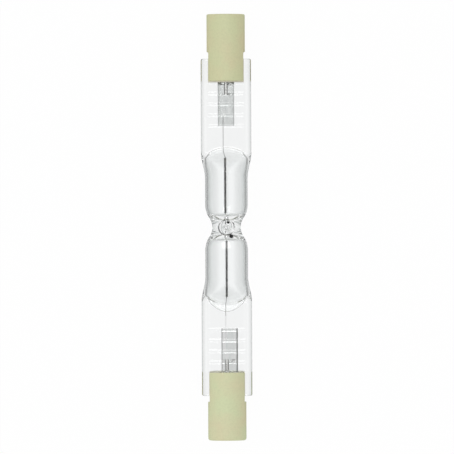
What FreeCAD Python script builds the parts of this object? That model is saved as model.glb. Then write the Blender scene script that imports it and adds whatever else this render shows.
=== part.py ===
import FreeCAD, Part
import math
import os

# Double-ended linear halogen lamp, 78 mm, with a ceramic cap and a recessed contact at each end.
# Millimetres. +X runs along the lamp, Y across the flat pinches, +Z up through the tip-off pip.
# The origin is the middle of the lamp, on the axis of the quartz tube.

V = FreeCAD.Vector
CENTRE = V(0, 0, 0)
ALONG = V(1, 0, 0)
UP = V(0, 0, 1)

# Lamp as a whole
overall_length = 78.0
contact_depth = 1.55

# Quartz tube with two chambers and a necked waist
tube_diameter = 7.8
tube_wall = 0.45
waist_diameter = 5.05
waist_half_length = 4.2
waist_neck_share = 0.39
throat_diameter = 1.0
throat_half_length = 1.0
funnel_knee_diameter = 4.8
funnel_knee_run = 1.3
funnel_overrun = 0.2

# Tip-off pip, where the exhaust stem was melted shut
pip_base_diameter = 2.9
pip_tip_diameter = 1.0
pip_rise = 1.1
pip_shoulder = 0.1
pip_root = 0.75
exhaust_bore = 0.6
exhaust_cover = 0.75

# Pressed pinches at both ends of the tube
pinch_width = 9.2
pinch_thickness = 2.4
pinch_edge_radius = 1.15
pinch_length = 15.95
pinch_end_depth = 8.15
flare_length = 3.8
flare_setback = 1.7
flare_root_inset = 0.15

# Mark of the press jaws: an arched shoulder, then shallow panels parted by cross ribs
jaw_arch_radius = 6.2
shoulder_slope = 35.0
jaw_clear = 0.5
chamber_setback = 0.1
chamber_end_height = 0.6
panel_width = 6.0
panel_depth = 0.1
panel_setback = 0.6
first_rib_setback = 3.8
rib_pitch = 1.9
rib_width = 0.55
rib_count = 5

# Tungsten filament, one wire with a coil in each chamber
strand_diameter = 0.14
coil_diameter = 0.48
coil_start = 2.45
coil_end_gap = 2.0
coil_turns = 22
bends_per_turn = 5
filament_offset = 0.2
tail_offset_upper = 0.55
tail_offset_lower = 0.2
tail_joggle = 1.2

# Sealing foils in the pinches
foil_width = 3.0
foil_thickness = 0.04
foil_setback = 3.7
foil_end_gap = 2.05
foil_offset_upper = 0.0
foil_offset_lower = -0.5
tail_on_foil = 1.8
weld_sink = 0.02

# Outer leads, from the foil to the contact
lead_diameter = 0.7
lead_on_foil = 4.5

# Ceramic end caps
cap_diameter = 7.0
cap_length = 12.45
cap_rim_chamfer = 0.35
slot_gap = 1.1
slot_corner_radius = 0.4
cement_thickness = 0.2
recess_diameter = 4.0
recess_mouth_chamfer = 0.25
recess_ledge = 0.25
shank_hole_diameter = 2.0

# Contacts at the bottom of the recesses
contact_head_thickness = 0.6
contact_edge_chamfer = 0.15
contact_shank_length = 2.6
head_clearance = 0.05
shank_clearance = 0.1

# Sizes that follow from the ones above
half_length = overall_length / 2
cap_radius = cap_diameter / 2
cap_start = half_length - cap_length
contact_face = half_length - contact_depth
tube_radius = tube_diameter / 2
bore_radius = tube_radius - tube_wall
funnel_knee = throat_half_length + funnel_knee_run
funnel_end = waist_half_length + funnel_overrun
waist_top = waist_diameter / 2
pip_top = waist_top + pip_rise
pinch_half = pinch_thickness / 2
pinch_end = half_length - pinch_end_depth
jaw_edge = pinch_end - pinch_length
jaw_centre = jaw_edge - jaw_arch_radius
flare_end = jaw_edge - flare_setback
chamber_end = jaw_edge - chamber_setback
coil_length = chamber_end - coil_end_gap - coil_start
strand_radius = strand_diameter / 2
coil_radius = coil_diameter / 2 - strand_radius
foil_top = weld_sink - coil_radius - strand_radius
foil_start = jaw_edge + foil_setback
foil_length = pinch_end - foil_end_gap - foil_start
lead_radius = lead_diameter / 2
lead_height = foil_top + lead_radius - weld_sink
lead_start = foil_start + foil_length - lead_on_foil
slot_bottom = pinch_end + slot_gap
slot_width = pinch_thickness + 2 * cement_thickness
seat_radius = recess_diameter / 2 - recess_ledge
head_radius = seat_radius - head_clearance
shank_hole_radius = shank_hole_diameter / 2
shank_radius = shank_hole_radius - shank_clearance
head_seat = contact_face - contact_head_thickness
shank_end = head_seat - contact_shank_length
reach = 2 * tube_diameter


def s_bend(start, end, first_share):
    """Two tangent arcs between two points of the XZ plane, level at both ends."""
    run = end.x - start.x
    rise = end.z - start.z
    side = math.copysign(1.0, rise)
    both = (run * run + rise * rise) / (2 * abs(rise))
    first = both * first_share
    last = both - first
    turn = 2 * math.atan2(abs(rise), run)
    joint = start + V(first * math.sin(turn), 0, side * first * (1 - math.cos(turn)))
    early = start + V(first * math.sin(turn / 2), 0, side * first * (1 - math.cos(turn / 2)))
    late = end - V(last * math.sin(turn / 2), 0, side * last * (1 - math.cos(turn / 2)))
    return [Part.Arc(start, early, joint).toShape(), Part.Arc(joint, late, end).toShape()]


def outline(first, *rest):
    """Face bounded by straight runs through the points, with edges taken in between as they are."""
    edges = []
    here = first
    for item in rest:
        if isinstance(item, list):
            edges += item
            here = item[-1].Vertexes[-1].Point
        else:
            edges.append(Part.makeLine(here, item))
            here = item
    edges.append(Part.makeLine(here, first))
    return Part.Face(Part.Wire(Part.__sortEdges__(edges)))


def turned(face, base, axis):
    return face.revolve(base, axis, 360)


def other_end(shape):
    """The same piece at the lower end of the lamp."""
    return shape.mirror(CENTRE, ALONG)


def tube_blank():
    """Solid half of the tube: half the waist, one chamber and the stretch that the jaws press."""
    waist = V(0, 0, waist_top)
    chamber = V(waist_half_length, 0, tube_radius)
    end = jaw_edge + pinch_half
    neck = s_bend(waist, chamber, waist_neck_share)
    profile = outline(CENTRE, waist, neck, V(end, 0, tube_radius), V(end, 0, 0))
    return turned(profile, CENTRE, ALONG)


def jaw():
    """Upper press jaw, an arched edge whose face falls from the tube to the flat of the pinch."""
    foot = V(jaw_edge, 0, pinch_half)
    brow = up_the_shoulder(foot, tube_radius + jaw_clear)
    far = V(jaw_edge + reach, 0, pinch_half)
    return half_turned(outline(brow, foot, far, V(far.x, 0, brow.z)))


def up_the_shoulder(foot, height):
    """Point at a height on the shoulder slope that starts at the foot."""
    back = (height - foot.z) / math.tan(math.radians(shoulder_slope))
    return V(foot.x - back, 0, height)


def half_turned(profile):
    """Half turn about the centre of the jaw arch, on the side of the pinch."""
    profile.rotate(V(jaw_centre, 0, 0), UP, -90)
    return profile.revolve(V(jaw_centre, 0, 0), UP, 180)


def pinch_plate():
    """Flat of the pinch, with rounded edges that flare out of the tube."""
    root = V(flare_end - flare_length, tube_radius - flare_root_inset, -pinch_half)
    full = V(flare_end, pinch_width / 2, -pinch_half)
    end = V(pinch_end, pinch_width / 2, -pinch_half)
    plan = outline(root, full, end, across(end), across(full), across(root))
    plate = plan.extrude(V(0, 0, pinch_thickness))
    edges = [e for e in plate.Edges if e.BoundBox.ZLength < 1e-6 and e.BoundBox.XLength > 1e-6]
    return plate.makeFillet(pinch_edge_radius, edges)


def across(point):
    """The point at the same place on the other side of the lamp."""
    return V(point.x, -point.y, point.z)


def panels():
    """Shallow panels pressed into the upper face of the pinch, parted by the cross ribs."""
    ribs = [jaw_edge + first_rib_setback + rib_pitch * k for k in range(rib_count)]
    starts = [jaw_edge + panel_setback] + [rib + rib_width / 2 for rib in ribs[:-1]]
    ends = [rib - rib_width / 2 for rib in ribs]
    pads = []
    for start, end in zip(starts, ends):
        corner = V(start, -panel_width / 2, pinch_half - panel_depth)
        pads.append(Part.makeBox(end - start, panel_width, 2 * panel_depth, corner))
    return pads


def chamber_hollow():
    """Half of the gas space: half the throat, a funnel and one chamber, closed by the pressed shoulder."""
    throat = V(0, 0, throat_diameter / 2)
    neck = V(throat_half_length, 0, throat_diameter / 2)
    knee = V(funnel_knee, 0, funnel_knee_diameter / 2)
    chamber = V(funnel_end, 0, bore_radius)
    profile = outline(CENTRE, throat, neck, knee, chamber, V(jaw_edge, 0, bore_radius), V(jaw_edge, 0, 0))
    return turned(profile, CENTRE, ALONG).cut(chamber_stop())


def chamber_stop():
    """Glass that closes the chamber: a slope behind each shoulder and a low upright wall between them."""
    tip = V(chamber_end, 0, chamber_end_height / 2)
    brow = up_the_shoulder(tip, bore_radius + jaw_clear)
    far = chamber_end + reach
    return half_turned(outline(brow, tip, V(tip.x, 0, -tip.z), V(brow.x, 0, -brow.z), V(far, 0, -brow.z),
                               V(far, 0, brow.z)))


def pip():
    """Tip-off pip on top of the waist: a round stub, a cone and a ball for the melted tip."""
    stub_radius = pip_base_diameter / 2
    ball_radius = pip_tip_diameter / 2
    root = waist_top - pip_root
    shoulder = waist_top + pip_shoulder
    ball_height = pip_top - ball_radius
    stub = Part.makeCylinder(stub_radius, shoulder - root, V(0, 0, root))
    cone = Part.makeCone(stub_radius, ball_radius, ball_height - shoulder, V(0, 0, shoulder), UP)
    return stub.fuse(cone).fuse(Part.makeSphere(ball_radius, V(0, 0, ball_height)))


def exhaust_channel():
    return Part.makeCylinder(exhaust_bore / 2, pip_top - exhaust_cover)


def quartz_envelope():
    upper_jaw = jaw()
    lower_jaw = upper_jaw.mirror(CENTRE, UP)
    pressed = tube_blank().cut(upper_jaw).cut(lower_jaw)
    half = pressed.fuse(pinch_plate()).removeSplitter()
    for pad in panels():
        half = half.cut(pad).cut(pad.mirror(CENTRE, UP))
    half = half.cut(chamber_hollow())
    envelope = half.fuse(other_end(half)).removeSplitter()
    envelope = envelope.fuse(pip()).removeSplitter().cut(exhaust_channel())
    for foil_offset, tail_offset, place in ends():
        envelope = envelope.cut(place(foil_strip(foil_offset)))
        envelope = envelope.cut(place(outer_lead()))
        envelope = envelope.cut(place(tail_bore(tail_offset)))
    return envelope


def ends():
    """Offsets of the foil and the filament tail, and how a piece is placed, for each end of the lamp."""
    upper = (foil_offset_upper, tail_offset_upper, Part.Shape.copy)
    lower = (foil_offset_lower, tail_offset_lower, other_end)
    return [upper, lower]


def foil_strip(foil_offset):
    corner = V(foil_start, foil_offset - foil_width / 2, foil_top - foil_thickness)
    return Part.makeBox(foil_length, foil_width, foil_thickness, corner)


def foil(foil_offset, tail_offset):
    """Sealing foil, dented where the lead and the filament tail are welded on."""
    return foil_strip(foil_offset).cut(outer_lead()).cut(tail_bore(tail_offset))


def outer_lead():
    return Part.makeCylinder(lead_radius, shank_end - lead_start, V(lead_start, 0, lead_height), ALONG)


def tail_bore(tail_offset):
    start = chamber_end - chamber_end_height
    length = foil_start + tail_on_foil - start
    return Part.makeCylinder(strand_radius, length, V(start, tail_offset, -coil_radius), ALONG)


def filament():
    """One wire, bent in short straight lengths, from the lower foil to the upper foil."""
    height = -coil_radius
    foil_point = foil_start + tail_on_foil
    coil_end = coil_start + coil_length
    joggle = coil_end + tail_joggle
    path = [V(-foil_point, tail_offset_lower, height), V(-joggle, tail_offset_lower, height)]
    path += coil_points(-coil_end)
    path += coil_points(coil_start)
    path += [V(joggle, tail_offset_upper, height), V(foil_point, tail_offset_upper, height)]
    corners = [math.pi / 4 + math.pi / 2 * k for k in range(5)]
    section = [path[0] + V(0, strand_radius * math.cos(a), strand_radius * math.sin(a)) for a in corners]
    return Part.makePolygon(path).makePipeShell([Part.makePolygon(section)], True, False, 1)


def coil_points(start):
    steps = coil_turns * bends_per_turn
    points = []
    for k in range(steps + 1):
        angle = 2 * math.pi * k / bends_per_turn
        across = filament_offset + coil_radius * math.sin(angle)
        points.append(V(start + coil_length * k / steps, across, -coil_radius * math.cos(angle)))
    return points


def end_cap():
    """Ceramic barrel, slotted for the pinch, bored for the contact and recessed at its outer end."""
    cap = Part.makeCylinder(cap_radius, cap_length, V(cap_start, 0, 0), ALONG)
    cap = cap.makeChamfer(cap_rim_chamfer, rings(cap, half_length))
    slot = Part.makeBox(slot_bottom - cap_start + reach, reach, slot_width,
                        V(cap_start - reach, -reach / 2, -slot_width / 2))
    floor = [e for e in slot.Edges if e.BoundBox.XLength < 1e-6 and e.BoundBox.ZLength < 1e-6]
    slot = slot.makeFillet(slot_corner_radius, [e for e in floor if e.CenterOfMass.x > cap_start])
    hole = Part.makeCylinder(shank_hole_radius, cap_length, V(slot_bottom - slot_gap, 0, 0), ALONG)
    seat = Part.makeCylinder(seat_radius, cap_length, V(head_seat, 0, 0), ALONG)
    recess = Part.makeCylinder(recess_diameter / 2, contact_depth, V(contact_face, 0, 0), ALONG)
    mouth = Part.makeCone(recess_diameter / 2, recess_diameter / 2 + 2 * recess_mouth_chamfer,
                          2 * recess_mouth_chamfer, V(half_length - recess_mouth_chamfer, 0, 0), ALONG)
    return cap.cut(slot).cut(hole).cut(seat).cut(recess).cut(mouth)


def rings(shape, along):
    """Round edges of a turned piece at one place along the lamp."""
    return [e for e in shape.Edges if e.BoundBox.XLength < 1e-6 and abs(e.CenterOfMass.x - along) < 1e-6]


def contact():
    """Metal button with a shank, let into the floor of the recess."""
    head = Part.makeCylinder(head_radius, contact_head_thickness, V(head_seat, 0, 0), ALONG)
    head = head.makeChamfer(contact_edge_chamfer, rings(head, contact_face))
    shank = Part.makeCylinder(shank_radius, contact_shank_length, V(shank_end, 0, 0), ALONG)
    return head.fuse(shank).removeSplitter()


def cement():
    """Layer on both faces of the pinch, inside the slot of the cap."""
    depth = pinch_end - cap_start
    barrel = Part.makeCylinder(cap_radius, depth, V(cap_start, 0, 0), ALONG)
    layer = Part.makeBox(depth, cap_diameter, cement_thickness, V(cap_start, -cap_radius, pinch_half))
    upper = barrel.common(layer)
    return Part.makeCompound([upper, upper.mirror(CENTRE, UP)])


os.makedirs("parts", exist_ok=True)
quartz_envelope().exportStep("parts/quartz_envelope.step")
filament().exportStep("parts/filament.step")
for side, (foil_offset, tail_offset, place) in zip(("upper", "lower"), ends()):
    place(foil(foil_offset, tail_offset)).exportStep("parts/foil_" + side + ".step")
    place(outer_lead()).exportStep("parts/outer_lead_" + side + ".step")
    place(end_cap()).exportStep("parts/end_cap_" + side + ".step")
    place(contact()).exportStep("parts/contact_" + side + ".step")
    place(cement()).exportStep("parts/cement_" + side + ".step")
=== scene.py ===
import math

import bmesh
import bpy
from mathutils import Matrix, Vector


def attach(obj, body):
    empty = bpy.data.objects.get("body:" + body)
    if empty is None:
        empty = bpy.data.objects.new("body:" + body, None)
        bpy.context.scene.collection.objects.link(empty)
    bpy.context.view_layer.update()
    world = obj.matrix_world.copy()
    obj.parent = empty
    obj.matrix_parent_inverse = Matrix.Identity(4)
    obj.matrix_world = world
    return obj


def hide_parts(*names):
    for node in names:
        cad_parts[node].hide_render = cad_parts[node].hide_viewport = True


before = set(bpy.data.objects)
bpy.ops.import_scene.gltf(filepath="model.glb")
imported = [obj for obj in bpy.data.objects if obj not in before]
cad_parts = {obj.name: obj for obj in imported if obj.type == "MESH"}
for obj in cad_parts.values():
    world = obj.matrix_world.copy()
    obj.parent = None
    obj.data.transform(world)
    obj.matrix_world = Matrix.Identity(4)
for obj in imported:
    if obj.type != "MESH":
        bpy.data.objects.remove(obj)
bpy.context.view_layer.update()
scene = bpy.context.scene

# Sizes in millimetres. +X runs along the lamp to its upper end, Y across the pinches, +Z up through the pip.
# Places along the lamp count from its middle. What differs between the ends is kept by side: 1 is the upper
# end and -1 the lower.
MM = 0.001
weld_distance = 0.0001
half_length = 39.0

# Quartz tube with a necked waist
tube_radius = 3.9
tube_wall = 0.45
bore_radius = tube_radius - tube_wall
waist_radius = 2.62
waist_half_length = 4.2
neck_bend = 2.94
shoulder_bend = 4.59
throat_radius = 0.5
throat_half_length = 1.45
bowl_depth = 1.15
bowl_fullness = 0.8

# Tip-off pip and what is left of its exhaust bore
pip_top = 3.625
pip_tip_radius = 0.5
pip_base_radius = 1.55
pip_shoulder = 2.7
nipple_height = 0.4
exhaust_place = (-0.3, -0.3, 1.8)
exhaust_radius = 0.4
exhaust_half_height = 1.0

# Pinches, pressed by jaws with an arched edge
pinch_end = 30.85
pinch_half_width = 4.6
pinch_half_height = 1.2
pinch_edge_radius = 1.15
pinch_end_rounding = 0.35
flare_start = 9.0
flare_end = 13.6
press_start = 10.2
press_end = 14.9
press_crease = 0.627
jaw_arch_radius = 6.2
arch_start = 8.0
arch_full = 13.0
arch_fade = 15.2
arch_end = 18.2

# Panels on the faces of the pinches, crossed by ribs
panel_start = 12.6
panel_full = 14.6
panel_half_width = 3.3
panel_edge = 0.15
panel_depth = {1: 0.0175, -1: 0.066}
first_rib = {1: 18.6, -1: 18.7}
rib_pitch = 1.98
rib_count = 5
rib_half_width = 0.3

# Ends of the gas space, with a thin lip at the lower one
slope_end = 14.5
slope_first = 0.449
slope_last = 0.95
chamber_end = {1: slope_end, -1: 15.45}
chamber_flare = 0.3
chamber_flare_start = 9.5
chamber_flare_end = 13.5
closing_height = 0.6
closing_inset = 0.6
lip_start = 13.5
lip_half_height = 0.3
lip_bow = 0.09

# Ceramic caps, with a slot for the pinch and stepped seats for the contact
cap_radius = 3.5
cap_start = {1: 26.8, -1: 26.55}
cap_rounding = {1: 0.25, -1: 0.45}
cap_mouth_ease = 0.05
slot_bottom = {1: 32.1, -1: 31.95}
slot_half_width = 1.4
slot_corner = 0.4
slot_edge_ease = 0.03
cutter_overrun = 2.0
cutter_width = 12.0
recess_radius = 2.0
recess_mouth = ((0.0, 0.3), (0.08, 0.12), (0.25, 0.0))
contact_face = 37.45
head_radius = 1.75
head_seat = 36.85
shank_radius = 1.0

# Tungsten filament
coil_start = 2.45
coil_length = 10.35
coil_turns = 40
coil_radius = 0.15
fine_turns_in_turn = 12
fine_radius = 0.05
strand_radius = 0.045
filament_offset = {1: 0.2, -1: 0.0}
tail_offset = {1: 0.55, -1: 0.2}
tail_joggle = 1.2
tail_end = 20.4
# Where the painted reflection on the lower tail begins
silvery_tail_start = -16.2

# Where the rings of the quartz skins change their spacing, and how many points and facets go round
crease_half_width = 0.04
pip_rings_end = 1.6
neck_rings_end = 4.3
press_rings_end = 15.1
rib_rings_end = 27.2
throat_ring = 0.8
bowl_rings = 16
bowl_crowding = 1.5
shoulder_rings_end = 4.5
slope_rings_end = 14.0
outer_quarter = 40
inner_quarter = 20
cap_facets = 96
rim_steps = 6


def between(first, last, share):
    """Value at a share of the way from the first to the last."""
    return first + (last - first) * share


def share_of(low, high, value):
    """How far a value lies on the way from low to high, held between 0 and 1."""
    return min(max((value - low) / (high - low), 0.0), 1.0)


def eased(share, first_slope=0.0, last_slope=0.0):
    """Rise from 0 to 1 that starts and ends at given slopes."""
    bend = 3 - 2 * first_slope - last_slope
    return first_slope * share + bend * share ** 2 + (first_slope + last_slope - 2) * share ** 3


def smooth(low, high, value):
    """Soft step from 0 to 1."""
    return eased(share_of(low, high, value))


def stations(start, *stretches):
    """Places along half the lamp, from a start and stretches of (end, step)."""
    places = []
    for end, step in stretches:
        count = round((end - start) / step)
        places += [between(start, end, k / count) for k in range(count)]
        start = end
    return places + [start]


def oval(half_width, half_height, corner, quarter):
    """Outline of a flat oval, evenly spaced from the middle of its top round by the +Y side."""
    flat = half_width - corner
    wall = half_height - corner
    bend = corner * math.pi / 2
    points = []
    for k in range(quarter + 1):
        run = (flat + bend + wall) * k / quarter
        if run <= flat:
            points.append((run, half_height))
        elif run <= flat + bend:
            turn = (run - flat) / corner
            points.append((flat + corner * math.sin(turn), wall + corner * math.cos(turn)))
        else:
            points.append((half_width, flat + bend + wall - run))
    right = points + [(y, -z) for y, z in points[-2::-1]]
    return right + [(-y, z) for y, z in right[-2:0:-1]]


def arch(y):
    """How far the arched edge of the press jaws falls back at a distance from the axis."""
    return math.sqrt(jaw_arch_radius ** 2 - y * y) - jaw_arch_radius


def tube_profile(along):
    """Outer radius of the tube: a concave neck, a convex shoulder, then the straight chamber."""
    if along < waist_half_length * neck_bend / (neck_bend + shoulder_bend):
        return waist_radius + neck_bend - math.sqrt(neck_bend ** 2 - along ** 2)
    if along < waist_half_length:
        back = waist_half_length - along
        return tube_radius - shoulder_bend + math.sqrt(shoulder_bend ** 2 - back ** 2)
    return tube_radius


def panel_mark(along, y, side):
    """Depth pressed into the face of the pinch: a shallow web between rails, crossed by low round ribs."""
    mark = smooth(panel_start, panel_full, along)
    for k in range(rib_count):
        away = (along - first_rib[side] - rib_pitch * k) / rib_half_width
        mark *= min(away * away, 1.0)
    rail = smooth(panel_half_width - panel_edge, panel_half_width + panel_edge, abs(y))
    return panel_depth[side] * mark * (1 - rail)


def press_share(along):
    """How far the jaws have pressed the tube: a crease where their slant begins, then a soft fall."""
    return eased(share_of(press_start, press_end, along), press_crease)


def press_height(along):
    """Half height of the pressed quartz over the axis."""
    return between(tube_profile(along), pinch_half_height, press_share(along))


def pip_height(away):
    """Height of the tip-off pip at a distance from its axis: a stub that narrows to a melted nipple."""
    if away > pip_base_radius:
        return 0.0
    cone = between(pip_shoulder, pip_top - nipple_height, smooth(pip_base_radius, pip_tip_radius, away))
    if away >= pip_tip_radius:
        return cone
    nipple = pip_top - pip_tip_radius + math.sqrt(pip_tip_radius ** 2 - away ** 2)
    return max(nipple, cone)


def outer_ring(along, quarter, side):
    """One ring of the outer skin of the quartz, at a distance from the middle towards one end."""
    width_rounds = 4
    arched = smooth(arch_start, arch_full, along) * (1 - smooth(arch_fade, arch_end, along))
    half_width = tube_profile(along)
    # The arch sets the flank back by its own width, so the width is found in a few rounds
    for _ in range(width_rounds):
        flank = along + arched * arch(half_width)
        flare = smooth(flare_start, flare_end, flank)
        half_width = tube_profile(along) + (pinch_half_width - tube_radius) * flare
    corner = between(tube_profile(along), pinch_edge_radius, press_share(along))
    past = min(max(along - pinch_end + pinch_end_rounding, 0.0), pinch_end_rounding)
    inset = pinch_end_rounding - math.sqrt(pinch_end_rounding ** 2 - past ** 2)
    ring = []
    for y, z in oval(half_width - inset, press_height(along) - inset, corner - inset, quarter):
        x = along + arched * arch(y)
        if abs(z) > pinch_half_height / 2:
            z -= math.copysign(panel_mark(along, y, side), z)
        if z > 0:
            z = max(z, pip_height(math.hypot(x, y)))
        ring.append(Vector((x, y, z)))
    return ring


def inner_ring(along, quarter, side):
    """One ring of the gas space: a throat, a shallow bowl and a chamber that the press has closed. At the
    lower end a thin lip runs on past the slope, bowed back towards its sides."""
    rise = share_of(throat_half_length, throat_half_length + bowl_depth, along)
    bowl = math.sin(rise * math.pi / 2) ** bowl_fullness
    radius = between(throat_radius, tube_profile(along) - tube_wall, bowl)
    fall = eased(share_of(press_start, slope_end, along), slope_first, slope_last)
    half_height = radius * max(1 - fall, 0.0)
    lip = 0.0
    if chamber_end[side] > slope_end and along > lip_start:
        lip = share_of(lip_start, chamber_end[side], along)
        half_height = max(half_height, lip_half_height * math.sqrt(1 - lip ** 2))
    flare = smooth(chamber_flare_start, chamber_flare_end, along)
    closed = 1 - smooth(0.0, closing_height, half_height)
    half_width = between(radius, bore_radius + chamber_flare, flare) - closing_inset * closed
    arched = smooth(arch_start, arch_full, along)
    ring = []
    for y, z in oval(half_width, half_height, half_height, quarter):
        bow = lip_bow * y * y * eased(lip)
        ring.append(Vector((along + arched * arch(y) - bow, y, z)))
    return ring


def both_ends(places, make_ring, quarter):
    """Rings from the lower end of the lamp to the upper end."""
    upper = [make_ring(place, quarter, 1) for place in places[1]]
    lower = [make_ring(place, quarter, -1) for place in places[-1][:0:-1]]
    return [[Vector((-p.x, p.y, p.z)) for p in ring] for ring in lower] + upper


def lay_skin(bm, rings, inward):
    """Closed skin over rings that run along +X. It looks outwards with flat ends, or inwards into a hollow
    that ends in two sharp edges."""
    rows = [[bm.verts.new(p * MM) for p in ring] for ring in rings]
    count = len(rows[0])
    faces = []
    for row, after in zip(rows, rows[1:]):
        for k in range(count):
            nxt = (k + 1) % count
            faces.append(bm.faces.new((row[k], after[k], after[nxt], row[nxt])))
    if inward:
        bmesh.ops.reverse_faces(bm, faces=faces)
        bmesh.ops.remove_doubles(bm, verts=rows[0] + rows[-1], dist=weld_distance * MM)
    else:
        bm.faces.new(rows[0])
        bm.faces.new(rows[-1][::-1])


def exhaust_bubble(bm):
    """Gas closed in the quartz under the pip: what is left of the exhaust bore."""
    sizes = (exhaust_radius * MM, exhaust_radius * MM, exhaust_half_height * MM, 1)
    shape = Matrix.Translation(Vector(exhaust_place) * MM) @ Matrix.Diagonal(sizes)
    made = bmesh.ops.create_uvsphere(bm, u_segments=24, v_segments=14, radius=1.0, matrix=shape)
    bmesh.ops.reverse_faces(bm, faces=list({face for vert in made["verts"] for face in vert.link_faces}))


def mesh_from(bm, name):
    """Plain mesh from a finished bmesh."""
    mesh = bpy.data.meshes.new(name)
    bm.to_mesh(mesh)
    bm.free()
    return mesh


def finished_mesh(holder):
    """Plain mesh from a holder with its modifiers applied. The holder is taken away."""
    mesh = bpy.data.meshes.new_from_object(holder.evaluated_get(bpy.context.evaluated_depsgraph_get()))
    bpy.data.objects.remove(holder)
    return mesh


def piece(name, mesh, material, replaced, sharp=None):
    """A finished piece that rides on the lamp and stands for its solid."""
    for face in mesh.polygons:
        face.use_smooth = True
    if sharp:
        mesh.set_sharp_from_angle(angle=math.radians(sharp))
    mesh.materials.clear()
    mesh.materials.append(material)
    made = bpy.data.objects.new(name, mesh)
    scene.collection.objects.link(made)
    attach(made, "root")
    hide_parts(replaced)


def colour(code):
    """Linear colour from an sRGB hex value."""
    parts = [int(code[k:k + 2], 16) / 255 for k in (1, 3, 5)]
    return [p / 12.92 if p <= 0.04045 else ((p + 0.055) / 1.055) ** 2.4 for p in parts] + [1.0]


def add(tree, kind, inputs=None, **settings):
    """A node with its settings. An input is a value or the socket that feeds it. A Mix node takes two
    colours at inputs 6 and 7 and gives one at output 2, or takes two plain values at inputs 2 and 3."""
    made = tree.nodes.new(kind)
    for name, value in settings.items():
        setattr(made, name, value)
    for name, value in (inputs or {}).items():
        if isinstance(value, bpy.types.NodeSocket):
            tree.links.new(value, made.inputs[name])
        else:
            made.inputs[name].default_value = value
    return made


def new_material(name):
    """Empty material and its node tree."""
    made = bpy.data.materials.new(name)
    made.use_nodes = True
    made.node_tree.nodes.clear()
    return made, made.node_tree


def painted_shade_mark(tree, place, middle, radius, width):
    """Share of painted shade in a ring about a place on the pip, or in a spot where the radius is 0."""
    full_share = 0.5
    middle_m = [value * MM for value in middle]
    gap = add(tree, "ShaderNodeVectorMath", {0: place, 1: middle_m}, operation="DISTANCE")
    off = add(tree, "ShaderNodeMath", {0: gap.outputs["Value"], 1: radius * MM}, operation="SUBTRACT")
    out = add(tree, "ShaderNodeMath", {0: off.outputs[0]}, operation="ABSOLUTE")
    return add(tree, "ShaderNodeMapRange", {
        "Value": out.outputs[0], "From Min": width * full_share * MM, "From Max": width * MM,
        "To Min": 1.0, "To Max": 0.0}, interpolation_type="SMOOTHSTEP").outputs[0]


def drawn_quartz():
    """Fused quartz, drawn and pressed hot: colourless and glossy, with painted shade that greys it where it
    is seen edge on, faint draw lines, and painted shade in a dark ring and spots at the pip. The draw lines
    are coarser than real so that they show."""
    draw_line_length = 16.7
    draw_line_width = 0.714
    # Painted shade: a black ring and spots on the pip stand in for the dark surroundings that it bends into
    # view.
    painted_shade_patch = 0.9
    painted_shade_black = colour("#020202")
    painted_shade_ring = {"middle": (0, 0, 2.5), "radius": 1.45, "width": 0.16}
    painted_shade_spots = ({"middle": (0.9, -0.3, 3.0), "radius": 0.0, "width": 0.4},
                   {"middle": (-1.66, -0.85, 2.98), "radius": 0.0, "width": 0.62})
    material, tree = new_material("fused_quartz_drawn_and_pressed")
    place = add(tree, "ShaderNodeTexCoord").outputs["Object"]
    along_draw = add(tree, "ShaderNodeMapping", {"Vector": place, "Scale": (
        1 / (draw_line_length * MM), 1 / (draw_line_width * MM), 1 / (draw_line_width * MM))})
    lines = add(tree, "ShaderNodeTexNoise", {"Vector": along_draw.outputs[0], "Scale": 1.0, "Detail": 2.0})
    ripple = add(tree, "ShaderNodeBump", {
        "Height": lines.outputs[0], "Strength": 0.12, "Distance": 0.06 * MM})
    slant = add(tree, "ShaderNodeLayerWeight", {"Blend": 0.5, "Normal": ripple.outputs[0]})
    # Painted shade: the glass greys where it is seen edge on, in place of the darker surroundings that its
    # slanted faces bend into view.
    depth = add(tree, "ShaderNodeValToRGB", {"Fac": slant.outputs["Facing"]})
    for stop, spot, code in zip(depth.color_ramp.elements, (0.1, 0.72), ("#FDFEFE", "#D2D6D5")):
        stop.position = spot
        stop.color = colour(code)
    patches = add(tree, "ShaderNodeTexNoise", {
        "Vector": place, "Scale": 1 / (painted_shade_patch * MM), "Detail": 1.0})
    broken = add(tree, "ShaderNodeMapRange", {
        "Value": patches.outputs[0], "From Min": 0.38, "From Max": 0.48, "To Max": 0.94})
    ring = add(tree, "ShaderNodeMath", {
        0: painted_shade_mark(tree, place, **painted_shade_ring), 1: broken.outputs[0]}, operation="MULTIPLY")
    painted_shade = ring.outputs[0]
    for spot in painted_shade_spots:
        painted_shade = add(tree, "ShaderNodeMath", {
            0: painted_shade, 1: painted_shade_mark(tree, place, **spot)}, operation="MAXIMUM").outputs[0]
    # Painted shade darkens the glass's colour and its reflection at the pip.
    body = add(tree, "ShaderNodeMix", {0: painted_shade, 6: depth.outputs[0], 7: painted_shade_black}, data_type="RGBA")
    shine = add(tree, "ShaderNodeMix", {0: painted_shade, 6: colour("#FFFFFF"), 7: painted_shade_black}, data_type="RGBA")
    glass = add(tree, "ShaderNodeBsdfPrincipled", {
        "Base Color": body.outputs[2], "Roughness": 0.0, "IOR": 1.459, "Transmission Weight": 1.0,
        "Specular Tint": shine.outputs[2], "Normal": ripple.outputs[0]})
    add(tree, "ShaderNodeOutputMaterial", {"Surface": glass.outputs[0]})
    return material


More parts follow.
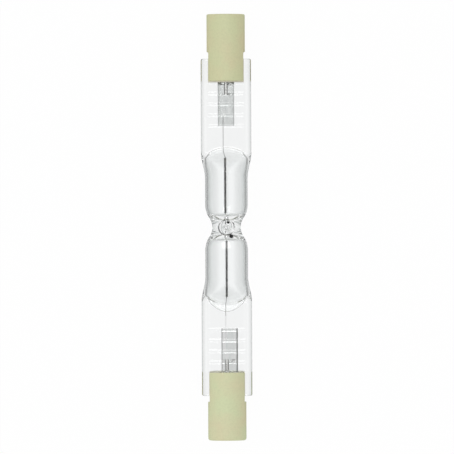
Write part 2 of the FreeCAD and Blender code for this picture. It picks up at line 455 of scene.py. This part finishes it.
def pressed_steatite(name, green, cream):
    """Steatite, dry pressed and fired unglazed: matt cream green with a cloudy tint and a fine grain, which
    is coarser than the real one so that it shows."""
    cloud_size = 5.0
    grit_size = 0.3
    material, tree = new_material(name)
    place = add(tree, "ShaderNodeTexCoord").outputs["Object"]
    cloud = add(tree, "ShaderNodeTexNoise", {"Vector": place, "Scale": 1 / (cloud_size * MM), "Detail": 3.0})
    grit = add(tree, "ShaderNodeTexNoise", {"Vector": place, "Scale": 1 / (grit_size * MM), "Detail": 4.0})
    tint = add(tree, "ShaderNodeValToRGB", {"Fac": cloud.outputs[0]})
    for stop, spot, code in zip(tint.color_ramp.elements, (0.35, 0.65), (green, cream)):
        stop.position = spot
        stop.color = colour(code)
    speckle = add(tree, "ShaderNodeValToRGB", {"Fac": grit.outputs[0]})
    for stop, spot, code in zip(speckle.color_ramp.elements, (0.3, 0.6), ("#F8F8F8", "#FFFFFF")):
        stop.position = spot
        stop.color = colour(code)
    both = add(tree, "ShaderNodeMix", {0: 1.0, 6: tint.outputs[0], 7: speckle.outputs[0]},
               data_type="RGBA", blend_type="MULTIPLY")
    grain = add(tree, "ShaderNodeBump", {"Height": grit.outputs[0], "Strength": 0.1, "Distance": 0.04 * MM})
    body = add(tree, "ShaderNodeBsdfPrincipled", {
        "Base Color": both.outputs[2], "Roughness": 0.62, "IOR": 1.58, "Normal": grain.outputs[0]})
    add(tree, "ShaderNodeOutputMaterial", {"Surface": body.outputs[0]})
    return material


def metal_tones(tree, pale, deep, grain_size, stretch=(1, 1, 1)):
    """Grain of a bare metal, and its colour, which drifts between two tones over the grain."""
    place = add(tree, "ShaderNodeTexCoord").outputs["Object"]
    stretched = add(tree, "ShaderNodeMapping", {"Vector": place, "Scale": stretch})
    grain = add(tree, "ShaderNodeTexNoise", {
        "Vector": stretched.outputs[0], "Scale": 1 / (grain_size * MM), "Detail": 3.0})
    tone = add(tree, "ShaderNodeValToRGB", {"Fac": grain.outputs[0]})
    for stop, spot, code in zip(tone.color_ramp.elements, (0.35, 0.65), (deep, pale)):
        stop.position = spot
        stop.color = colour(code)
    return grain.outputs[0], tone.outputs[0]


def metal_face(tree, shade, grain, roughness, bump=0.1):
    """Bare metal whose gloss and relief follow its grain."""
    gloss_drift = 0.15
    gloss = add(tree, "ShaderNodeMapRange", {
        "Value": grain, "To Min": roughness * (1 - gloss_drift), "To Max": roughness * (1 + gloss_drift)})
    relief = add(tree, "ShaderNodeBump", {"Height": grain, "Strength": bump, "Distance": 0.03 * MM})
    face = add(tree, "ShaderNodeBsdfPrincipled", {
        "Base Color": shade, "Metallic": 1.0, "Roughness": gloss.outputs[0], "Normal": relief.outputs[0]})
    add(tree, "ShaderNodeOutputMaterial", {"Surface": face.outputs[0]})


def plain_metal(name, pale, deep, roughness, grain_size, stretch=(1, 1, 1)):
    """Bare metal without marks: bright and streaked along the drawn rod, a warm even grey on the plated
    contact. Its grain is coarser than the real one so that it shows."""
    material, tree = new_material(name)
    grain, shade = metal_tones(tree, pale, deep, grain_size, stretch)
    metal_face(tree, shade, grain, roughness)
    return material


def tungsten_wire():
    """Tungsten wire, drawn and coiled: dull dark grey, uneven from turn to turn, in patches coarser than
    real ones so that they show. In the lower seal, where a fine gap parts it from the quartz, it is painted
    white, a painted reflection that stands for the silvery shine of that gap."""
    material, tree = new_material("tungsten_wire_drawn_and_coiled")
    grain, shade = metal_tones(tree, "#949492", "#363636", grain_size=0.45)
    place = add(tree, "ShaderNodeTexCoord").outputs["Object"]
    along = add(tree, "ShaderNodeSeparateXYZ", {0: place}).outputs["X"]
    # Painted reflection: past the seal start the wire is painted white in place of the shine of the gap
    # round it.
    painted_gap_reflection = add(tree, "ShaderNodeMath", {0: along, 1: silvery_tail_start * MM}, operation="LESS_THAN")
    shade = add(tree, "ShaderNodeMix", {0: painted_gap_reflection.outputs[0], 6: shade, 7: colour("#FFFFFF")},
                data_type="RGBA").outputs[2]
    metal_face(tree, shade, grain, roughness=0.42)
    return material


def rolled_foil(name, pale, deep, edge, middle, painted_shade_marks):
    """Molybdenum foil, rolled bright: a soft mirror, with painted shade that darkens its thin edges, where
    the glass bends dark surroundings over them, and dark specks of painted shade by the cap's edge and under
    the end of the lead at the weld. Its grain and specks are coarser than real ones so that they show. Each
    painted shade mark is a place along the lamp, its reach and its strength."""
    edge_start = 1.2
    edge_full = 1.4
    crumb_size = 0.45
    full_share = 0.6
    material, tree = new_material(name)
    grain, shade = metal_tones(tree, pale, deep, grain_size=0.5, stretch=(0.2, 1, 1))
    place = add(tree, "ShaderNodeTexCoord").outputs["Object"]
    parts = add(tree, "ShaderNodeSeparateXYZ", {0: place}).outputs
    across = add(tree, "ShaderNodeMath", {0: parts["Y"], 1: middle * MM}, operation="SUBTRACT")
    away = add(tree, "ShaderNodeMath", {0: across.outputs[0]}, operation="ABSOLUTE")
    # Painted shade: the foil darkens towards its edges, where the glass bends dark surroundings over them.
    rim = add(tree, "ShaderNodeMapRange", {
        "Value": away.outputs[0], "From Min": edge_start * MM, "From Max": edge_full * MM, "To Max": 0.8})
    shade = add(tree, "ShaderNodeMix", {0: rim.outputs[0], 6: shade, 7: colour(edge)},
                data_type="RGBA").outputs[2]
    crumbs = add(tree, "ShaderNodeTexNoise", {
        "Vector": place, "Scale": 1 / (crumb_size * MM), "Detail": 2.0})
    # Painted shade: dark specks by the cap's edge and under the end of the lead.
    for spot, reach, strength in painted_shade_marks:
        gap = add(tree, "ShaderNodeMath", {0: parts["X"], 1: spot * MM}, operation="SUBTRACT")
        off = add(tree, "ShaderNodeMath", {0: gap.outputs[0]}, operation="ABSOLUTE")
        near = add(tree, "ShaderNodeMapRange", {
            "Value": off.outputs[0], "From Min": reach * full_share * MM, "From Max": reach * MM,
            "To Min": 1.0, "To Max": 0.0})
        specks = add(tree, "ShaderNodeMapRange", {
            "Value": crumbs.outputs[0], "From Min": 0.4, "From Max": 0.58, "To Max": strength})
        both = add(tree, "ShaderNodeMath", {
            0: near.outputs[0], 1: specks.outputs[0]}, operation="MULTIPLY")
        shade = add(tree, "ShaderNodeMix", {0: both.outputs[0], 6: shade, 7: colour("#4E4E44")},
                    data_type="RGBA").outputs[2]
    metal_face(tree, shade, grain, roughness=0.1, bump=0.02)
    return material


def lamp_cement():
    """Ceramic cement, brushed in wet: dull off-white with fine sand in it, which is coarser than the real
    one so that it shows."""
    sand_size = 0.25
    material, tree = new_material("ceramic_cement_brushed_in")
    place = add(tree, "ShaderNodeTexCoord").outputs["Object"]
    sand = add(tree, "ShaderNodeTexNoise", {"Vector": place, "Scale": 1 / (sand_size * MM), "Detail": 4.0})
    tone = add(tree, "ShaderNodeValToRGB", {"Fac": sand.outputs[0]})
    for stop, spot, code in zip(tone.color_ramp.elements, (0.0, 1.0), ("#C9C4B4", "#EAE6DA")):
        stop.position = spot
        stop.color = colour(code)
    rough = add(tree, "ShaderNodeBump", {"Height": sand.outputs[0], "Strength": 0.5, "Distance": 0.06 * MM})
    body = add(tree, "ShaderNodeBsdfPrincipled", {
        "Base Color": tone.outputs[0], "Roughness": 0.85, "Normal": rough.outputs[0]})
    add(tree, "ShaderNodeOutputMaterial", {"Surface": body.outputs[0]})
    return material


def quartz_skins():
    """Outer skin and gas space of the quartz, so that light bends at both."""
    crease = (press_start - crease_half_width, press_start + crease_half_width)
    outer = stations(0.0, (pip_rings_end, 0.05), (neck_rings_end, 0.1), (crease[0], 0.5),
                     (crease[1], crease_half_width), (press_rings_end, 0.12), (arch_end, 0.31),
                     (rib_rings_end, 0.1), (pinch_end - pinch_end_rounding, 0.55), (pinch_end, 0.05))
    bowl_end = throat_half_length + bowl_depth
    bowl = [between(throat_half_length, bowl_end, (k / bowl_rings) ** bowl_crowding)
            for k in range(bowl_rings)]
    inner = {}
    for side in (1, -1):
        inner[side] = [0.0, throat_ring] + bowl + stations(
            bowl_end, (shoulder_rings_end, 0.1), (crease[0], 0.5), (crease[1], crease_half_width),
            (slope_rings_end, 0.12), (chamber_end[side], 0.06))
    bm = bmesh.new()
    lay_skin(bm, both_ends({1: outer, -1: outer}, outer_ring, outer_quarter), inward=False)
    lay_skin(bm, both_ends(inner, inner_ring, inner_quarter), inward=True)
    exhaust_bubble(bm)
    return mesh_from(bm, "quartz_envelope_skin")


def coil_tree(material):
    """Wire wound into a fine coil, which is wound again into the coil that glows."""
    steps_in_fine_turn = 8
    wire_sides = 6
    tree = bpy.data.node_groups.new("filament_coil", "GeometryNodeTree")
    for name in ("Start", "Length", "Turns", "Coil Radius", "Fine Turns", "Fine Radius", "Wire Radius",
                 "Offset"):
        tree.interface.new_socket(name, in_out="INPUT", socket_type="NodeSocketFloat")
    tree.interface.new_socket("Geometry", in_out="OUTPUT", socket_type="NodeSocketGeometry")
    given = add(tree, "NodeGroupInput").outputs
    steps = add(tree, "ShaderNodeMath", {
        0: given["Fine Turns"], 1: steps_in_fine_turn}, operation="MULTIPLY")
    line = add(tree, "GeometryNodeCurvePrimitiveLine")
    wire = add(tree, "GeometryNodeResampleCurve", {"Curve": line.outputs[0], "Count": steps.outputs[0]})
    share = add(tree, "GeometryNodeSplineParameter").outputs["Factor"]

    turns = add(tree, "ShaderNodeMath", {0: share, 1: given["Turns"]}, operation="MULTIPLY")
    turn = add(tree, "ShaderNodeMath", {0: turns.outputs[0], 1: math.tau}, operation="MULTIPLY")
    turn_sine = add(tree, "ShaderNodeMath", {0: turn.outputs[0]}, operation="SINE")
    turn_cosine = add(tree, "ShaderNodeMath", {0: turn.outputs[0]}, operation="COSINE")
    fine_turns = add(tree, "ShaderNodeMath", {0: share, 1: given["Fine Turns"]}, operation="MULTIPLY")
    fine_turn = add(tree, "ShaderNodeMath", {0: fine_turns.outputs[0], 1: math.tau}, operation="MULTIPLY")
    fine_sine = add(tree, "ShaderNodeMath", {0: fine_turn.outputs[0]}, operation="SINE")
    fine_cosine = add(tree, "ShaderNodeMath", {0: fine_turn.outputs[0]}, operation="COSINE")

    radius = add(tree, "ShaderNodeMath", {
        0: fine_cosine.outputs[0], 1: given["Fine Radius"], 2: given["Coil Radius"]},
        operation="MULTIPLY_ADD")
    run = add(tree, "ShaderNodeMath", {
        0: share, 1: given["Length"], 2: given["Start"]}, operation="MULTIPLY_ADD")
    along = add(tree, "ShaderNodeMath", {
        0: fine_sine.outputs[0], 1: given["Fine Radius"], 2: run.outputs[0]}, operation="MULTIPLY_ADD")
    across = add(tree, "ShaderNodeMath", {
        0: turn_sine.outputs[0], 1: radius.outputs[0], 2: given["Offset"]}, operation="MULTIPLY_ADD")
    depth = add(tree, "ShaderNodeMath", {
        0: turn_cosine.outputs[0], 1: radius.outputs[0]}, operation="MULTIPLY")
    height = add(tree, "ShaderNodeMath", {0: depth.outputs[0], 1: -1}, operation="MULTIPLY")
    place = add(tree, "ShaderNodeCombineXYZ", {
        0: along.outputs[0], 1: across.outputs[0], 2: height.outputs[0]})

    wound = add(tree, "GeometryNodeSetPosition", {"Geometry": wire.outputs[0], "Position": place.outputs[0]})
    section = add(tree, "GeometryNodeCurvePrimitiveCircle", {
        "Resolution": wire_sides, "Radius": given["Wire Radius"]})
    solid = add(tree, "GeometryNodeCurveToMesh", {
        "Curve": wound.outputs[0], "Profile Curve": section.outputs[0], "Fill Caps": True})
    plain = add(tree, "GeometryNodeRealizeInstances", {"Geometry": solid.outputs[0]})
    dressed = add(tree, "GeometryNodeSetMaterial", {"Geometry": plain.outputs[0], "Material": material})
    add(tree, "NodeGroupOutput", {"Geometry": dressed.outputs[0]})
    return tree


def wound_coil(tree, start, offset):
    """Mesh of one coil that starts at a place along the lamp."""
    holder = bpy.data.objects.new("coil_holder", bpy.data.meshes.new("coil_holder"))
    scene.collection.objects.link(holder)
    modifier = holder.modifiers.new("coil", "NODES")
    modifier.node_group = tree
    sizes = {"Start": start * MM, "Length": coil_length * MM, "Turns": float(coil_turns),
             "Coil Radius": coil_radius * MM, "Fine Turns": float(coil_turns * fine_turns_in_turn),
             "Fine Radius": fine_radius * MM, "Wire Radius": strand_radius * MM, "Offset": offset * MM}
    for item in tree.interface.items_tree:
        if item.name in sizes:
            modifier[item.identifier] = sizes[item.name]
    return finished_mesh(holder)


def bent_wire(points):
    """Mesh of the filament's bare wire through points."""
    curve = bpy.data.curves.new("wire", "CURVE")
    curve.dimensions = "3D"
    curve.bevel_depth = strand_radius * MM
    curve.bevel_resolution = 2
    curve.use_fill_caps = True
    spline = curve.splines.new("POLY")
    spline.points.add(len(points) - 1)
    for point, place in zip(spline.points, points):
        point.co = [value * MM for value in place] + [1.0]
    holder = bpy.data.objects.new("wire_holder", curve)
    scene.collection.objects.link(holder)
    return finished_mesh(holder)


def filament_mesh(material):
    """Two coils, the bare leg through the waist and the tails to the foils."""
    tree = coil_tree(material)
    coil_end = coil_start + coil_length
    joggle_end = coil_end + tail_joggle
    low = -coil_radius
    parts = [wound_coil(tree, coil_start, filament_offset[1]),
             wound_coil(tree, -coil_end, filament_offset[-1])]
    parts.append(bent_wire([(side * coil_start, filament_offset[side], low) for side in (-1, 1)]))
    for side in (1, -1):
        parts.append(bent_wire([(side * coil_end, filament_offset[side], low),
                                (side * joggle_end, tail_offset[side], low),
                                (side * tail_end, tail_offset[side], low)]))
    bm = bmesh.new()
    for part in parts:
        bm.from_mesh(part)
    return mesh_from(bm, "filament_wire")


def end_cap_mesh(side):
    """Ceramic barrel turned about the lamp's axis, with a rounded rim and stepped seats for the contact."""
    start = cap_start[side]
    bend = cap_rounding[side]
    profile = [(start, shank_radius), (start, cap_radius - cap_mouth_ease),
               (start + cap_mouth_ease, cap_radius)]
    for k in range(rim_steps + 1):
        turn = math.pi / 2 * k / rim_steps
        across = cap_radius - bend + bend * math.cos(turn)
        profile.append((half_length - bend + bend * math.sin(turn), across))
    profile += [(half_length - depth, recess_radius + widening) for depth, widening in recess_mouth]
    profile += [(contact_face, recess_radius), (contact_face, head_radius), (head_seat, head_radius),
                (head_seat, shank_radius)]
    bm = bmesh.new()
    ring = [bm.verts.new((side * x * MM, r * MM, 0)) for x, r in profile]
    edges = [bm.edges.new(pair) for pair in zip(ring, ring[1:] + ring[:1])]
    bmesh.ops.spin(bm, geom=ring + edges, cent=(0, 0, 0), axis=(1, 0, 0), angle=math.tau,
                   steps=cap_facets, use_merge=True)
    bmesh.ops.remove_doubles(bm, verts=bm.verts, dist=weld_distance * MM)
    bmesh.ops.recalc_face_normals(bm, faces=bm.faces)
    return mesh_from(bm, "end_cap")


def slotted(mesh, side):
    """The barrel with the slot for the pinch cut out and its edges eased."""
    bm = bmesh.new()
    bmesh.ops.create_cube(bm, size=1.0)
    for vert in bm.verts:
        x = cap_start[side] - cutter_overrun if vert.co.x < 0 else slot_bottom[side]
        vert.co = Vector((side * x, vert.co.y * cutter_width, vert.co.z * 2 * slot_half_width)) * MM
    floor = []
    for edge in bm.edges:
        first, last = edge.verts
        if min(abs(first.co.x), abs(last.co.x)) > cap_start[side] * MM and first.co.y * last.co.y < 0:
            floor.append(edge)
    bmesh.ops.bevel(bm, geom=floor, offset=slot_corner * MM, segments=5, profile=0.5, affect="EDGES")
    bmesh.ops.recalc_face_normals(bm, faces=bm.faces)
    body = bpy.data.objects.new("cap_holder", mesh)
    cutter = bpy.data.objects.new("slot_cutter", mesh_from(bm, "slot_cutter"))
    for holder in (body, cutter):
        scene.collection.objects.link(holder)
    cut = body.modifiers.new("slot", "BOOLEAN")
    cut.object = cutter
    cut.solver = "EXACT"
    ease = body.modifiers.new("ease", "BEVEL")
    ease.width = slot_edge_ease * MM
    ease.segments = 2
    ease.limit_method = "ANGLE"
    ease.angle_limit = math.radians(50)
    done = finished_mesh(body)
    bpy.data.objects.remove(cutter)
    return done


def pale_floor():
    """White sheet under the lamp. Straight views see it evenly white, glass and metal see it grey away from
    the lamp, and it keeps a soft shadow."""
    sheet_half_size = 600.0
    even_share = 0.97
    material, tree = new_material("white_paper_sheet")
    rays = add(tree, "ShaderNodeLightPath").outputs
    place = add(tree, "ShaderNodeTexCoord").outputs["Object"]
    parts = add(tree, "ShaderNodeSeparateXYZ", {0: place})
    away = add(tree, "ShaderNodeMath", {0: parts.outputs["Y"]}, operation="ABSOLUTE").outputs[0]
    through = add(tree, "ShaderNodeMapRange", {
        "Value": away, "From Min": 4.3 * MM, "From Max": 8.5 * MM, "To Min": 0.93, "To Max": 0.4},
        interpolation_type="SMOOTHSTEP")
    mirrored = add(tree, "ShaderNodeMapRange", {
        "Value": away, "From Min": 3 * MM, "From Max": 6 * MM, "To Min": 0.9, "To Max": 0.15},
        interpolation_type="SMOOTHSTEP")
    glass = add(tree, "ShaderNodeMix", {
        0: rays["Is Transmission Ray"], 2: mirrored.outputs[0], 3: through.outputs[0]})
    level = add(tree, "ShaderNodeMix", {0: rays["Is Camera Ray"], 2: glass.outputs[0], 3: 1.0})
    bright = add(tree, "ShaderNodeEmission", {"Color": colour("#FFFFFF"), "Strength": level.outputs[0]})
    paper = add(tree, "ShaderNodeBsdfDiffuse", {"Color": colour("#F2F2F2")})
    either = add(tree, "ShaderNodeMath", {
        0: rays["Is Camera Ray"], 1: rays["Is Transmission Ray"]}, operation="MAXIMUM")
    seen = add(tree, "ShaderNodeMath", {0: either.outputs[0], 1: rays["Is Glossy Ray"]}, operation="MAXIMUM")
    share = add(tree, "ShaderNodeMath", {0: seen.outputs[0], 1: even_share}, operation="MULTIPLY")
    mixed = add(tree, "ShaderNodeMixShader", {
        0: share.outputs[0], 1: paper.outputs[0], 2: bright.outputs[0]})
    add(tree, "ShaderNodeOutputMaterial", {"Surface": mixed.outputs[0]})
    bm = bmesh.new()
    bmesh.ops.create_grid(bm, x_segments=8, y_segments=8, size=sheet_half_size * MM)
    bmesh.ops.translate(bm, verts=bm.verts, vec=(0, 0, -tube_radius * MM))
    floor = bpy.data.objects.new("floor", mesh_from(bm, "floor"))
    floor.data.materials.append(material)
    scene.collection.objects.link(floor)


def soft_box(name, place, width, depth, radiance):
    """Area light, with its place and size in metres, that faces the middle. It shows in glass and metal
    alone."""
    data = bpy.data.lights.new(name, "AREA")
    data.shape = "RECTANGLE"
    data.size = width
    data.size_y = depth
    data.energy = radiance * math.pi * width * depth
    made = bpy.data.objects.new(name, data)
    made.location = place
    made.rotation_euler = Vector(place).to_track_quat("Z", "Y").to_euler()
    made.visible_diffuse = False
    scene.collection.objects.link(made)


def studio():
    """Light tent round the lamp. Glass and metal see it bright between a dimmer middle and dark sides, matt
    faces see a soft light, a little brighter from one side, and straight views see white."""
    tent_tones = ((0.0, 0.8), (0.1, 0.8), (0.25, 1.3), (0.6, 1.3), (0.85, 0.35), (1.0, 0.3))
    world = bpy.data.worlds.new("studio")
    world.use_nodes = True
    tree = world.node_tree
    tree.nodes.clear()
    look = add(tree, "ShaderNodeTexCoord").outputs["Generated"]
    parts = add(tree, "ShaderNodeSeparateXYZ", {0: look}).outputs
    across = add(tree, "ShaderNodeMath", {0: parts["Y"]}, operation="ABSOLUTE").outputs[0]
    along = add(tree, "ShaderNodeMath", {0: parts["X"]}, operation="ABSOLUTE").outputs[0]
    sides = add(tree, "ShaderNodeValToRGB", {"Fac": across})
    ramp = sides.color_ramp
    ramp.elements.remove(ramp.elements[1])
    for place, grey in tent_tones:
        stop = ramp.elements[0] if place == 0.0 else ramp.elements.new(place)
        stop.color = (grey, grey, grey, 1)
    ends = add(tree, "ShaderNodeMapRange", {
        "Value": along, "From Min": 0.75, "From Max": 0.92, "To Min": 0.0, "To Max": 0.7})
    glow = add(tree, "ShaderNodeMath", {0: sides.outputs[0], 1: ends.outputs[0]}, operation="MAXIMUM")
    rays = add(tree, "ShaderNodeLightPath").outputs
    plain = add(tree, "ShaderNodeMapRange", {
        "Value": parts["Y"], "From Min": -1.0, "To Min": 1.02, "To Max": 1.4})
    matt = add(tree, "ShaderNodeMix", {0: rays["Is Diffuse Ray"], 2: glow.outputs[0], 3: plain.outputs[0]})
    seen = add(tree, "ShaderNodeMix", {0: rays["Is Camera Ray"], 2: matt.outputs[0], 3: 1.0})
    sky = add(tree, "ShaderNodeBackground", {"Strength": seen.outputs[0]})
    add(tree, "ShaderNodeOutputWorld", {"Surface": sky.outputs[0]})
    scene.world = world
    soft_box("card", place=(0.225, 0.01, 0.556), width=0.5, depth=0.3, radiance=3.0)


def photographer():
    """Camera straight above the lamp, rolled a little, with the lamp's upper end up in the picture."""
    distance = 1.3
    roll = math.radians(-0.25)
    sensor_width = 36.0
    picture_width = 454
    pixel = 0.1831 * MM
    aim_right = 0.5 * pixel
    aim_up = 0.3 * pixel
    view = Vector((0, 0, 1))
    turn = Matrix.Rotation(roll, 3, view)
    right = turn @ Vector((0, -1, 0))
    up = turn @ Vector((1, 0, 0))
    data = bpy.data.cameras.new("camera")
    data.sensor_width = sensor_width
    data.lens = sensor_width * distance / (picture_width * pixel)
    made = bpy.data.objects.new("camera", data)
    made.matrix_world = Matrix((right, up, view)).transposed().to_4x4()
    made.location = view * distance + right * aim_right + up * aim_up
    scene.collection.objects.link(made)
    scene.camera = made


quartz = drawn_quartz()
tungsten = tungsten_wire()
steatite = {
    "upper": pressed_steatite("steatite_pressed_unglazed_upper", green="#CACDA1", cream="#D0C79F"),
    "lower": pressed_steatite("steatite_pressed_unglazed_lower", green="#CED5AA", cream="#D3CEA7")}
# The foils' edge tones and dark marks are painted shade.
foil = {
    "upper": rolled_foil("molybdenum_foil_rolled_upper", pale="#F8FAF9", deep="#EAEDEC", edge="#C4C7C6",
                         middle=0.0, painted_shade_marks=((26.45, 0.5, 0.9), (24.35, 0.2, 0.7))),
    "lower": rolled_foil("molybdenum_foil_rolled_lower", pale="#FFFFFF", deep="#F6F9F8", edge="#6E7271",
                         middle=-0.43, painted_shade_marks=((-24.4, 0.3, 0.5),))}
rod = plain_metal("molybdenum_rod_drawn", pale="#DEDEDC", deep="#C4C4C2", roughness=0.2, grain_size=0.3,
                  stretch=(0.1, 1, 1))
nickel = plain_metal("nickel_plated_contact", pale="#C9C6BE", deep="#ABA79D", roughness=0.3, grain_size=0.4)
cement = lamp_cement()

piece("quartz_envelope_skin", quartz_skins(), quartz, "quartz_envelope")
piece("filament_wire", filament_mesh(tungsten), tungsten, "filament", sharp=60)
for end, side in (("upper", 1), ("lower", -1)):
    cap = slotted(end_cap_mesh(side), side)
    piece("end_cap_body_" + end, cap, steatite[end], "end_cap_" + end, sharp=35)
    dressed = {"foil_": foil[end], "outer_lead_": rod, "contact_": nickel, "cement_": cement}
    for node, material in dressed.items():
        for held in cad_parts[node + end].material_slots:
            held.material = material

pale_floor()
studio()
photographer()
scene.view_settings.view_transform = "Standard"
glass_bounces = 128
scene.cycles.max_bounces = glass_bounces
scene.cycles.glossy_bounces = glass_bounces
scene.cycles.transmission_bounces = glass_bounces
